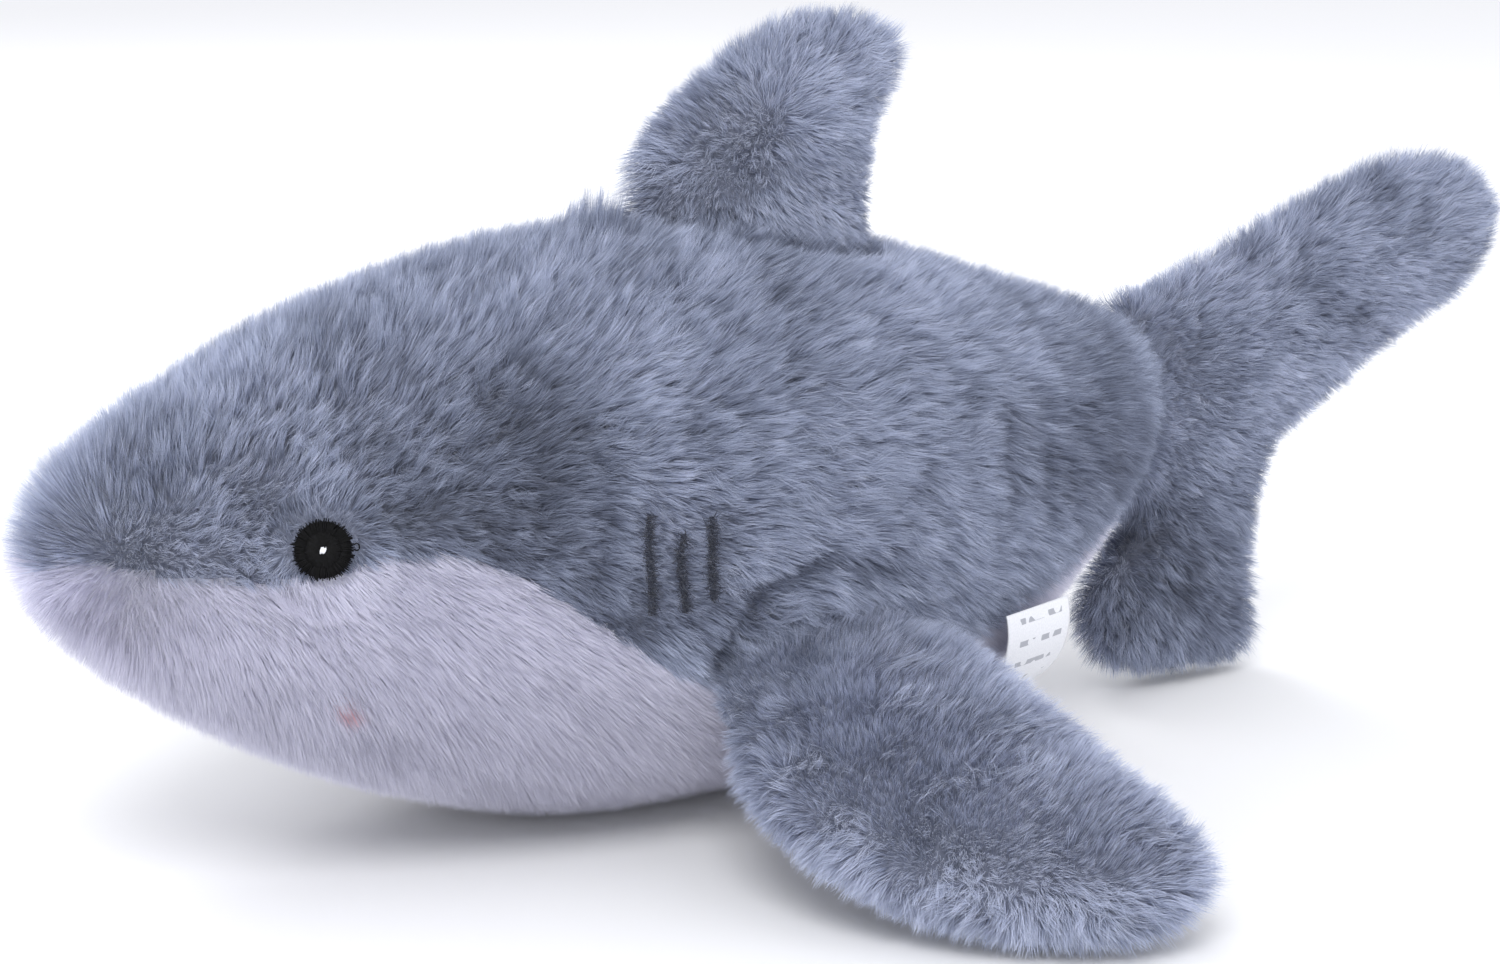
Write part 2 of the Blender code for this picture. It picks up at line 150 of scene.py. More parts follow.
def mesh_from(name, points, faces):
    mesh = bpy.data.meshes.new(name)
    mesh.from_pydata(np.asarray(points).tolist(), [], [tuple(int(v) for v in face) for face in faces])
    mesh.update()
    mesh.shade_smooth()
    return mesh


def values_of(items, key, width, kind=np.float32):
    found = np.empty(len(items) * width, kind)
    items.foreach_get(key, found)
    return found.reshape(-1, width)


def points_of(mesh):
    return values_of(mesh.vertices, "co", 3).astype(float)


def normals_of(mesh):
    return values_of(mesh.vertices, "normal", 3).astype(float)


def set_points(mesh, points):
    mesh.vertices.foreach_set("co", np.asarray(points, np.float32).ravel())
    mesh.update()


def edges_of(mesh):
    return values_of(mesh.edges, "vertices", 2, np.int32)


def triangles_of(mesh):
    mesh.calc_loop_triangles()
    return values_of(mesh.loop_triangles, "vertices", 3, np.int32)


def faces_of(mesh):
    return [tuple(face.vertices) for face in mesh.polygons]


def corners_of(mesh):
    return values_of(mesh.loops, "vertex_index", 1, np.int32)[:, 0]


def face_middles(mesh):
    return values_of(mesh.polygons, "center", 3).astype(float)


def tree_of(*meshes):
    points, faces, count = [], [], 0
    for mesh in meshes:
        points.append(points_of(mesh))
        faces.append(triangles_of(mesh) + count)
        count += len(mesh.vertices)
    return BVHTree.FromPolygons(np.concatenate(points).tolist(), np.concatenate(faces).tolist())


def joined(name, nodes):
    points, faces, count = [], [], 0
    for node in nodes:
        mesh = frame["nodes"][node].data
        points.append(points_of(mesh))
        faces += [tuple(v + count for v in face) for face in faces_of(mesh)]
        count += len(mesh.vertices)
    return new_object(name, mesh_from(name, np.concatenate(points), faces))


def with_modifier(obj, kind, **settings):
    """The object's mesh with one modifier applied."""
    change = obj.modifiers.new(kind.lower(), kind)
    for key, value in settings.items():
        setattr(change, key, value)
    graph = bpy.context.evaluated_depsgraph_get()
    mesh = bpy.data.meshes.new_from_object(obj.evaluated_get(graph), depsgraph=graph)
    obj.modifiers.clear()
    obj.data = mesh
    return obj


def neighbours_mean(values, edges, count):
    """Each vertex's mean of its neighbours' values."""
    total, number = np.zeros((count, *values.shape[1:])), np.zeros(count)
    for a, b in ((0, 1), (1, 0)):
        np.add.at(total, edges[:, a], values[edges[:, b]])
        np.add.at(number, edges[:, a], 1)
    number = np.maximum(number, 1)
    return total / number.reshape(-1, *([1] * (values.ndim - 1)))


def keep_largest(obj):
    """Leaves the biggest of the mesh's connected shells."""
    mesh = obj.data
    edges, label = edges_of(mesh), np.arange(len(mesh.vertices))
    while True:
        low = np.minimum(label[edges[:, 0]], label[edges[:, 1]])
        after = label.copy()
        np.minimum.at(after, edges[:, 0], low)
        np.minimum.at(after, edges[:, 1], low)
        after = after[after]
        if (after == label).all():
            break
        label = after
    main = np.bincount(label).argmax()
    faces = [face for face in faces_of(mesh) if label[face[0]] == main]
    used = np.unique([v for face in faces for v in face])
    place = np.zeros(len(label), int)
    place[used] = np.arange(len(used))
    obj.data = mesh_from(obj.name, points_of(mesh)[used], [tuple(place[list(face)]) for face in faces])
    return obj


def pull_in(obj, depth, share):
    """Moves the surface in by `depth`, or by a share of the thickness where the piece is thin."""
    mesh = obj.data
    points, normals, edges = points_of(mesh), normals_of(mesh), edges_of(mesh)
    tree = tree_of(mesh)
    deep = np.full(len(points), depth)
    for i, (point, normal) in enumerate(zip(points, normals)):
        hit = tree.ray_cast(Vector(point - normal * MM * 0.5), Vector(-normal))
        if hit[0] is not None:
            deep[i] = min(depth, share * hit[3])
    for _ in range(6):
        deep = 0.5 * deep + 0.5 * neighbours_mean(deep, edges, len(points))
    set_points(mesh, points - normals * deep[:, None])
    return obj


def puff(obj, held):
    """Blows the closed cloth up a little with its seams held, as the filling does."""
    before = points_of(obj.data)
    group = obj.vertex_groups.new(name="seams")
    group.add([int(i) for i in np.flatnonzero(held)], 1.0, "REPLACE")
    cloth = obj.modifiers.new("puff", "CLOTH")
    cloth.settings.use_pressure = True
    cloth.settings.uniform_pressure_force = PRESSURE
    cloth.settings.effector_weights.gravity = 0.0
    cloth.settings.vertex_group_mass = group.name
    cloth.collision_settings.use_collision = False
    cloth.point_cache.frame_start, cloth.point_cache.frame_end = 1, PUFF_FRAMES
    scene = bpy.context.scene
    for step in range(1, PUFF_FRAMES + 1):
        scene.frame_set(step)
    graph = bpy.context.evaluated_depsgraph_get()
    after = points_of(obj.evaluated_get(graph).data)
    obj.modifiers.clear()
    obj.vertex_groups.clear()
    scene.frame_set(1)
    moved = after - before
    far = np.linalg.norm(moved, axis=1, keepdims=True)
    set_points(obj.data, before + moved * np.minimum(1.0, PUFF_CAP / np.maximum(far, 1e-9)))
    return obj


# ---------------------------------------------------------------- materials


def new_material(name, roughness, sheen=0.0, specular=0.5):
    made = bpy.data.materials.new(name)
    made.use_nodes = True
    shader = made.node_tree.nodes["Principled BSDF"]
    shader.inputs["Roughness"].default_value = roughness
    shader.inputs["Sheen Weight"].default_value = sheen
    shader.inputs["Sheen Roughness"].default_value = 0.5
    shader.inputs["Specular IOR Level"].default_value = specular
    return made, made.node_tree.nodes, made.node_tree.links, shader


def ramp(nodes, links, source, stops):
    """The colour that a value from 0 to 1 gives."""
    made = nodes.new("ShaderNodeValToRGB")
    slots = made.color_ramp.elements
    while len(slots) < len(stops):
        slots.new(0.5)
    for slot, (place, colour) in zip(slots, stops):
        slot.position = place
        slot.color = (*colour, 1.0)
    links.new(source, made.inputs["Fac"])
    return made.outputs["Color"]


def noise(nodes, links, source, scale, detail=2.0):
    made = nodes.new("ShaderNodeTexNoise")
    made.inputs["Scale"].default_value = scale
    made.inputs["Detail"].default_value = detail
    if source is not None:
        links.new(source, made.inputs["Vector"])
    return made.outputs["Fac"]


def bump(nodes, links, height, shader, strength, distance):
    made = nodes.new("ShaderNodeBump")
    made.inputs["Strength"].default_value = strength
    made.inputs["Distance"].default_value = distance
    links.new(height, made.inputs["Height"])
    links.new(made.outputs["Normal"], shader.inputs["Normal"])


def map_place(nodes, links):
    """The place on the piece's map, and its two parts."""
    spread = nodes.new("ShaderNodeUVMap")
    spread.uv_map = "OFBake"
    parts = nodes.new("ShaderNodeSeparateXYZ")
    links.new(spread.outputs["UV"], parts.inputs[0])
    return spread.outputs["UV"], parts.outputs["X"], parts.outputs["Y"]


def fur_material(name, tones, root_shade, roughness):
    """The pile's colour: each fibre's own tone runs across the map, root to tip up it, multiplied by painted shade
    that darkens the roots and painted light that lightens the tips.
    """
    made, nodes, links, shader = new_material(name, roughness, sheen=0.25, specular=0.25)
    _, tone, height = map_place(nodes, links)
    both = nodes.new("ShaderNodeMix")
    both.data_type, both.blend_type = "RGBA", "MULTIPLY"
    both.inputs["Factor"].default_value = 1.0
    links.new(ramp(nodes, links, tone, tones), both.inputs["A"])
    links.new(ramp(nodes, links, height, root_shade), both.inputs["B"])
    links.new(both.outputs["Result"], shader.inputs["Base Color"])
    return made


def backing_material(name, dark, light):
    """Knitted backing cloth: a mottled colour over a fine knit bump."""
    made, nodes, links, shader = new_material(name, 0.95, sheen=0.3, specular=0.2)
    place = nodes.new("ShaderNodeTexCoord").outputs["Object"]
    mottle = noise(nodes, links, place, 120, 6)
    links.new(ramp(nodes, links, mottle, [(0.3, dark), (0.75, light)]), shader.inputs["Base Color"])
    knit = nodes.new("ShaderNodeTexWave")
    knit.inputs["Scale"].default_value = 300
    knit.inputs["Distortion"].default_value = 6
    links.new(place, knit.inputs["Vector"])
    bump(nodes, links, knit.outputs["Fac"], shader, 0.4, 0.3 * MM)
    return made


def thread_material(name, dark, light, roughness, sheen=0.4, specular=0.5):
    """Embroidery thread: fine plies of two tones, with a soft shine."""
    made, nodes, links, shader = new_material(name, roughness, sheen, specular)
    plies = noise(nodes, links, nodes.new("ShaderNodeTexCoord").outputs["Object"], 1800, 4)
    links.new(ramp(nodes, links, plies, [(0.35, dark), (0.7, light)]), shader.inputs["Base Color"])
    bump(nodes, links, plies, shader, 0.5, 0.1 * MM)
    return made


LABEL_ROWS = 6
DASH_LOW, DASH_HIGH = 0.36, 0.62  # the part of a row that the dashes take
PRINT_LEFT, PRINT_RIGHT = 0.2, 0.86
CLOTH_STOPS = [(0.3, (0.74, 0.75, 0.80)), (0.7, (0.84, 0.85, 0.89))]
DASH_COLOUR = (0.36, 0.37, 0.42, 1.0)


def satin_material():
    """Woven satin with a few plain dashes in place of print."""
    made, nodes, links, shader = new_material("label_satin", 0.35, sheen=0.3, specular=0.5)
    place, left, low = map_place(nodes, links)

    def maths(kind, first, second):
        made = nodes.new("ShaderNodeMath")
        made.operation = kind
        for slot, value in zip(made.inputs, (first, second)):
            if isinstance(value, (int, float)):
                slot.default_value = value
            else:
                links.new(value, slot)
        return made.outputs[0]

    def between(value, least, most):
        return maths("MULTIPLY", maths("GREATER_THAN", value, least), maths("LESS_THAN", value, most))

    rows = maths("FRACT", maths("MULTIPLY", low, LABEL_ROWS), 0.0)
    words = noise(nodes, links, place, 9, 0)
    dashes = maths("MULTIPLY", between(rows, DASH_LOW, DASH_HIGH), maths("GREATER_THAN", words, 0.47))
    printed = nodes.new("ShaderNodeMix")
    printed.data_type = "RGBA"
    links.new(maths("MULTIPLY", dashes, between(left, PRINT_LEFT, PRINT_RIGHT)), printed.inputs["Factor"])
    links.new(ramp(nodes, links, noise(nodes, links, place, 60), CLOTH_STOPS), printed.inputs["A"])
    printed.inputs["B"].default_value = DASH_COLOUR
    links.new(printed.outputs["Result"], shader.inputs["Base Color"])
    return made


GREY_TONES = [
    (0.0, (0.15, 0.172, 0.245)),
    (0.3, (0.31, 0.350, 0.468)),
    (0.6, (0.44, 0.488, 0.637)),
    (1.0, (0.66, 0.705, 0.86)),
]
WHITE_TONES = [
    (0.0, (0.59, 0.585, 0.70)),
    (0.5, (0.65, 0.645, 0.765)),
    (0.9, (0.79, 0.785, 0.905)),
    (0.96, (0.70, 0.42, 0.47)),
    (1.0, (0.70, 0.42, 0.47)),
]
# Painted shade and light along a grey fibre, root to tip: dark roots as the pile's own shadow, tips lighter than their
# tone
GREY_ROOT_SHADE = [
    (0.0, (0.40, 0.41, 0.45)),
    (0.45, (0.76, 0.77, 0.80)),
    (0.8, (1.02, 1.02, 1.02)),
    (1.0, (1.18, 1.18, 1.18)),
]
# Painted shade along a white fibre, root to tip: only a slight darkening at the roots
WHITE_ROOT_SHADE = [
    (0.0, (0.97, 0.97, 0.98)),
    (0.5, (0.98, 0.98, 0.99)),
    (1.0, (1.0, 1.0, 1.0)),
]
GILL_TONES = [(0.0, (0.020, 0.022, 0.034)), (0.6, (0.075, 0.083, 0.115)), (1.0, (0.22, 0.245, 0.32))]
LOOKS = {
    "grey": fur_material("grey_pile", GREY_TONES, GREY_ROOT_SHADE, 0.85),
    "white": fur_material("white_pile", WHITE_TONES, WHITE_ROOT_SHADE, 0.85),
    "backing": backing_material("grey_backing", (0.16, 0.18, 0.24), (0.27, 0.29, 0.37)),
    "white_backing": backing_material("white_backing", (0.62, 0.62, 0.70), (0.74, 0.74, 0.82)),
    "black": thread_material("black_thread", (0.001, 0.001, 0.001), (0.005, 0.005, 0.006), 0.5, 0.0, 0.12),
    "bright": thread_material("white_thread", (0.62, 0.63, 0.68), (0.88, 0.88, 0.92), 0.45),
    "gill": thread_material("gill_thread", (0.022, 0.025, 0.037), (0.070, 0.077, 0.105), 0.9, 0.0, 0.1),
    "gill_fuzz": fur_material("gill_fuzz", GILL_TONES, GREY_ROOT_SHADE, 0.9),
    "satin": satin_material(),
}


# ---------------------------------------------------------------- backing cloth


def thread_points(nodes):
    return np.concatenate([points_of(frame["nodes"][node].data) for node in nodes])


def nearest_distance(points, targets):
    tree = kdtree.KDTree(len(targets))
    for i, target in enumerate(targets):
        tree.insert(target, i)
    tree.balance()
    return np.array([tree.find(point)[2] for point in points])


def backing(name, panels, threads, depth, root=None):
    """The closed backing cloth of one stuffed body, and the tree of the pile's outside that it came from.

    `root` is a point, the way into the body and how far from the point, across that way, the root is.
    """
    skin = joined(name, panels)
    keep_largest(with_modifier(skin, "REMESH", mode="VOXEL", voxel_size=REMESH))
    outside = tree_of(skin.data)
    pull_in(skin, depth, THIN_SHARE)
    keep_largest(with_modifier(skin, "REMESH", mode="VOXEL", voxel_size=REMESH))
    with_modifier(skin, "SMOOTH", factor=0.5, iterations=2)
    if root is not None:
        point, way, wide = root
        points = points_of(skin.data)
        inward = (points - point) @ way
        aside = np.abs(points - point - inward[:, None] * way).max(1)
        share = smooth_step((inward + ROOT_BAND) / ROOT_BAND) * (1 - smooth_step((aside - wide) / ROOT_BAND))
        set_points(skin.data, points + way * (share * ROOT_REACH)[:, None])
    points = points_of(skin.data)
    near = nearest_distance(points, thread_points(threads)) < SEAM_HOLD
    puff(skin, near)
    with_modifier(skin, "SUBSURF", levels=1, render_levels=1)
    skin.data.materials.clear()
    skin.data.materials.append(LOOKS["backing"])
    skin.data.materials.append(LOOKS["white_backing"])
    skin.data.shade_smooth()
    return skin, outside


# ---------------------------------------------------------------- pile


def scattered(mesh, density, draw):
    """Evenly scattered places on a mesh: (points, normals, triangle corners, weights)."""
    points, normals, triangles = points_of(mesh), normals_of(mesh), triangles_of(mesh)
    corners = points[triangles]
    area = np.linalg.norm(np.cross(corners[:, 1] - corners[:, 0], corners[:, 2] - corners[:, 0]), axis=1) / 2
    total = area.sum()
    count = int(total * density)
    at = (np.arange(count) + draw.random(count)) * total / count
    chosen = np.minimum(np.searchsorted(np.cumsum(area), at), len(area) - 1)
    u, v = draw.random(count), draw.random(count)
    over = u + v > 1
    u, v = np.where(over, 1 - u, u), np.where(over, 1 - v, v)
    weights = np.stack([1 - u - v, u, v], -1)
    picked = triangles[chosen]
    place = (points[picked] * weights[..., None]).sum(1)
    normal = unit((normals[picked] * weights[..., None]).sum(1))
    return place, normal, picked, weights


def fibre_mesh(name, roots, bends, tips, across, width, tones):
    """Flat tapered fibres, five points each, with their tones and lengths on the map."""
    count = len(roots)
    points = np.empty((count, 5, 3), np.float32)
    half = (across * width[:, None] / 2).astype(np.float32)
    points[:, 0], points[:, 1] = roots - half, roots + half
    points[:, 2], points[:, 3] = bends - half * 0.85, bends + half * 0.85
    points[:, 4] = tips
    corner = np.array([0, 1, 3, 2, 2, 3, 4])
    corners = (np.arange(count)[:, None] * 5 + corner).astype(np.int32).ravel()
    starts = (np.arange(count)[:, None] * 7 + np.array([0, 4])).astype(np.int32).ravel()
    mesh = bpy.data.meshes.new(name)
    mesh.vertices.add(count * 5)
    mesh.loops.add(count * 7)
    mesh.polygons.add(count * 2)
    mesh.vertices.foreach_set("co", points.ravel())
    mesh.loops.foreach_set("vertex_index", corners)
    mesh.polygons.foreach_set("loop_start", starts)
    mesh.update(calc_edges=True)
    side = np.array([-1, 1, 1, -1, -1, 1, 0.0]) * 0.003
    height = np.array([0.01, 0.01, 0.45, 0.45, 0.45, 0.45, 0.99])
    spread = np.empty((count, 7, 2), np.float32)
    spread[..., 0] = np.clip(tones, 0.004, 0.996)[:, None] + side
    spread[..., 1] = height
    layer = mesh.uv_layers.new(name="OFBake")
    layer.data.foreach_set("uv", spread.ravel())
    mesh.shade_smooth()
    return mesh


def towards(normal, aim):
    """Unit directions along the surface, the nearest to `aim`."""
    along = aim - normal * (aim * normal).sum(1)[:, None]
    return unit(along + 1e-6)


def room_above(skin, outside):
    """How far it is from each of the backing's vertices, along its normal, to the outside of the pile."""
    mesh = skin.data
    room = np.full(len(mesh.vertices), np.nan)
    for i, (point, normal) in enumerate(zip(points_of(mesh), normals_of(mesh))):
        hit = outside.ray_cast(Vector(point), Vector(normal), 20 * MM)
        room[i] = hit[3] if hit[0] is not None else outside.find_nearest(Vector(point))[3]
    edges = edges_of(mesh)
    for _ in range(4):
        room = 0.5 * room + 0.5 * neighbours_mean(room, edges, len(room))
    return room


def grow(skin, outside, flow, seed=SEED, calm=None):
    """Fibres on one backing, as arrays. `flow` gives each place's combing and its trims.

    `calm` says for each vertex how smoothly the pile lies there, 0 to 1.
    """
    draw = np.random.default_rng(seed)
    place, normal, picked, weights = scattered(skin.data, DENSITY, draw)
    gap = room_above(skin, outside)
    depth = (gap[picked] * weights).sum(1)
    if calm is None:
        calm = np.zeros(len(gap))

    hubs, hub_normal, hub_picked, hub_weights = scattered(skin.data, TUFT_CROWD / TUFT_SPACING**2, draw)
    tree = kdtree.KDTree(len(hubs))
    for i, hub in enumerate(hubs):
        tree.insert(hub, i)
    tree.balance()
    hub = np.array([tree.find(point)[1] for point in place])

    hub_depth = (gap[hub_picked] * hub_weights).sum(1)
    hub_stir = 1 - (calm[hub_picked] * hub_weights).sum(1)
    stir = 1 - (calm[picked] * weights).sum(1)
    swirl = Waves(26 * MM, seed + 1, channels=3)
    ripple = Waves(9 * MM, seed + 2, channels=3)
    lying = Waves(13 * MM, seed + 3)

    def vectors(at, facing, deep, stir, random_turn, random_length):
        aim, trim, lean = flow(at, facing)
        stir = 0.3 + 0.7 * stir
        wander = SWIRL * swirl(at) + RIPPLE * ripple(at) + random_turn
        along = towards(facing, unit(aim) + wander * stir[:, None])
        root_lean = LEAN_ROOT * lean[:, None]
        tip_lean = (LEAN_TIP + LEAN_VARIES * lying(at) * stir)[:, None] * lean[:, None]
        first = facing * np.cos(root_lean) + along * np.sin(root_lean)
        second = facing * np.cos(tip_lean) + along * np.sin(tip_lean)
        rise = ROOT_END * np.cos(root_lean[:, 0]) + (1 - ROOT_END) * np.cos(tip_lean[:, 0])
        length = np.clip((deep + OVERSHOOT) / rise, SHORTEST, LONGEST) * trim * (1 + random_length * stir)
        return first * (length * ROOT_END)[:, None], second * (length * (1 - ROOT_END))[:, None]

    count, tufts = len(place), len(hubs)
    turn = draw.normal(size=(tufts, 3)) * TUFT_TURN
    stretch = draw.normal(0.0, TUFT_STRETCH, tufts)
    hub_first, hub_second = vectors(hubs, hub_normal, hub_depth, hub_stir, turn, stretch)
    first, second = vectors(
        place, normal, depth, stir, turn[hub] + draw.normal(size=(count, 3)) * FIBRE_TURN,
        stretch[hub] + draw.normal(0.0, FIBRE_STRETCH, count).clip(-0.4, 0.2),
    )
    gather = (draw.uniform(*GATHER, tufts)[hub] * (0.25 + 0.75 * stir))[:, None]
    bends = place + first
    tips = bends + second
    hub_bend = (hubs + hub_first)[hub]
    hub_tip = (hubs + hub_first + hub_second)[hub]
    bends = bends + (hub_bend - bends) * gather * BEND_GATHER
    tips = tips + (hub_tip - tips) * gather + draw.normal(size=(count, 3)) * TIP_STRAY
    roots = place - normal * ROOT_SINK
    run = unit(tips - roots)
    across = unit(np.cross(run, normal) + 1e-6)
    roll = (draw.normal(0.0, ROLL, count) * (0.4 + 0.6 * stir))[:, None]
    across = across * np.cos(roll) + np.cross(run, across) * np.sin(roll)
    fibre_tone = draw.normal(0.0, FIBRE_TONE, count) + draw.normal(0.0, TUFT_TONE, tufts)[hub]
    return {
        "place": place, "normal": normal, "roots": roots, "bends": bends, "tips": tips, "across": across,
        "width": FIBRE_WIDTH * draw.uniform(0.7, 1.25, count), "tone": fibre_tone,
    }


def press_on_floor(points, draw):
    """Keeps points above the floor, where the toy's weight flattens the pile."""
    least = LEAST_HEIGHT * (1 + draw.random(len(points)) * 2)
    points[:, 2] = np.maximum(points[:, 2], least)


def pile_pieces(name, fibres, chosen, tone, look, settle, draw, stained=None):
    """Objects of the chosen fibres, none with more than MOST_FIBRES. `stained` fibres take the map's last tone."""
    picked = np.flatnonzero(chosen)
    picked = picked[np.argsort(fibres["place"][picked, 0], kind="stable")]
    parts = max(1, math.ceil(len(picked) / MOST_FIBRES))
    made = []
    for number, part in enumerate(np.array_split(picked, parts), 1):
        piece = f"{name}_{number}" if parts > 1 else name
        keys = ("roots", "bends", "tips", "across", "width")
        roots, bends, tips, across, width = (fibres[key][part].copy() for key in keys)
        press_on_floor(roots, draw)
        press_on_floor(bends, draw)
        press_on_floor(tips, draw)
        tones = np.clip(tone[part] + fibres["tone"][part], 0.01, 0.90)
        if stained is not None:
            tones = np.where(stained[part], 0.98, tones)
        mesh = fibre_mesh(piece, roots, bends, tips, across, width, tones)
        mesh.materials.append(LOOKS[look])
        obj = new_object(piece, mesh)
        settle(obj)
        made.append(obj)
    return made


# ---------------------------------------------------------------- combing


def radial(points, centre, plane=(1.0, 1.0, 1.0)):
    return unit((points - centre) * np.array(plane))


GILL_PLACES = ("front", "middle", "rear")
GILLS = {
    side: (
        box_middle(f"gill_stitch_{side}_middle"),
        np.array(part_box(f"gill_stitch_{side}_rear")[1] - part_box(f"gill_stitch_{side}_front")[0]) / 2,
    )
    for side in ("left", "right")
}

LINE_POINTS = 48
GILL_ENDS = {"front": (-0.06, 0.12), "middle": (-0.08, -0.16), "rear": (0.02, 0.0)}  # moved, shares of a length


def gill_line(side, place):
    """A smooth line down the middle of a gill's stitching."""
    points = points_of(frame["nodes"][f"gill_stitch_{side}_{place}"].data)
    heights = np.linspace(points[:, 2].min(), points[:, 2].max(), 8)
    middles = np.array([points[np.abs(points[:, 2] - h) < 2.6 * MM].mean(0) for h in heights])
    middles[:, 2] = heights
    at = np.linspace(heights[0], heights[-1], LINE_POINTS)
    line = np.stack([np.interp(at, heights, middles[:, k]) for k in range(3)], -1)
    low, high = GILL_ENDS[place]
    share = (at - heights[0]) / (heights[-1] - heights[0])
    line = line + (line[-1] - line[0]) * ((1 - share) * low + share * high)[:, None]
    line[:, 0] += 0.35 * MM * np.sin(share * 7 + len(place))
    return line


GILL_LINES = {side: [gill_line(side, place) for place in GILL_PLACES] for side in ("left", "right")}

NOSE = (-132 * MM, 20 * MM, 50 * MM)  # where the combing starts to turn up over the nose, over what, lowest
PARTING = np.array((-94.0, -47.0, 80.0)) * MM  # the pile of the left cheek opens here, and painted shade darkens it
FLECK = np.array((-106.1, -35.0, 35.9)) * MM  # a faint pink spot on the chin
FLECK_RADIUS = 1.8 * MM
# Creases across the sides, x and z of both ends, half width, how much of the pile they take and how much painted shade
# darkens them
CREASES = (
    (-60, 54, -52, 51.5, 2.6, 0.62, 0.34),
    (-52, 51, -34, 54, 1.6, 0.35, 0.14),
    (-58, 82, -63, 58, 2.8, 0.38, 0.18),
    (-35, 43, -26, 56, 3.2, 0.60, 0.50),
    (-26, 56, -12, 60, 3.0, 0.55, 0.42),
    (-12, 60, 8, 56, 2.8, 0.34, 0.22),
    (33, 86, 29, 73, 2.4, 0.32, 0.18),
    (44, 80, 41, 62, 2.4, 0.36, 0.20),
    (56, 73, 57, 58, 2.4, 0.32, 0.18),
    (35, 64, 39, 52, 2.2, 0.28, 0.14),
)
PAINTED_LIGHT_AND_SHADE = (  # painted shade and painted light on both sides, darker for a positive amount and lighter for a negative one: x, z, radius, amount
    (-78, 78, 19, 0.48),
    (-96, 82, 9, 0.26),
    (-46, 66, 14, -0.10),
    (92, 68, 32, 0.38),
    (48, 74, 20, 0.14),
    (-153, 76, 14, -0.36),
    (10, 108, 26, 0.08),
    (-122, 92, 32, -0.18),
)
UNDER_DORSAL = (13 * MM, 34 * MM, 18 * MM, 98 * MM)  # middle, half length and half width of the fin's base, least z


def crease_at(points, crease):
    """How near points are to a crease across the sides: 1 on its line, 0 well away from it."""
    x, z = points[:, 0] / MM, points[:, 2] / MM
    from_x, from_z, to_x, to_z, wide = crease[:5]
    run_x, run_z = to_x - from_x, to_z - from_z
    share = np.clip(((x - from_x) * run_x + (z - from_z) * run_z) / (run_x**2 + run_z**2), 0, 1)
    far = np.hypot(x - from_x - share * run_x, z - from_z - share * run_z)
    return np.exp(-((far / wide) ** 2))


def under_dorsal(points):
    """1 in the fold around the rear of the dorsal fin's base, 0 away from it."""
    middle, long, wide, least = UNDER_DORSAL
    ring = np.hypot((points[:, 0] - middle) / long, points[:, 1] / wide)
    behind = smooth_step((points[:, 0] + 22 * MM) / (14 * MM)) * (1 - smooth_step((points[:, 0] - 36 * MM) / (8 * MM)))
    return np.exp(-(((ring - 0.95) / 0.14) ** 2)) * behind * (points[:, 2] > least)


def before_dorsal(points):
    """1 just ahead of the dorsal fin, where the body's pile stands up against it, 0 away from it."""
    x, aside = points[:, 0], np.abs(points[:, 1])
    along = smooth_step((x + 39 * MM) / (11 * MM)) * (1 - smooth_step((x + 26 * MM) / (4 * MM)))
    return along * (1 - smooth_step((aside - 4 * MM) / (5 * MM))) * (points[:, 2] > 100 * MM)


# The body pile's painted shade and painted light, as tone offsets
def torso_painted_light_and_shade(points):
    x, z = points[:, 0] / MM, points[:, 2] / MM
    # Painted shade in the fold around the rear of the dorsal fin's base
    tone = -0.75 * under_dorsal(points)
    # Painted shade along each crease
    for crease in CREASES:
        tone = tone - crease[6] * crease_at(points, crease)
    # Painted shade in the hollows and toward the rear, painted light on the head and nose
    for at_x, at_z, radius, amount in PAINTED_LIGHT_AND_SHADE:
        tone = tone - amount * np.exp(-(((x - at_x) ** 2 + (z - at_z) ** 2) / radius**2))
    # Painted shade in the parting of the left cheek
    far = np.linalg.norm(points - PARTING, axis=1)
    return tone - 0.34 * np.exp(-((far / (6 * MM)) ** 2))


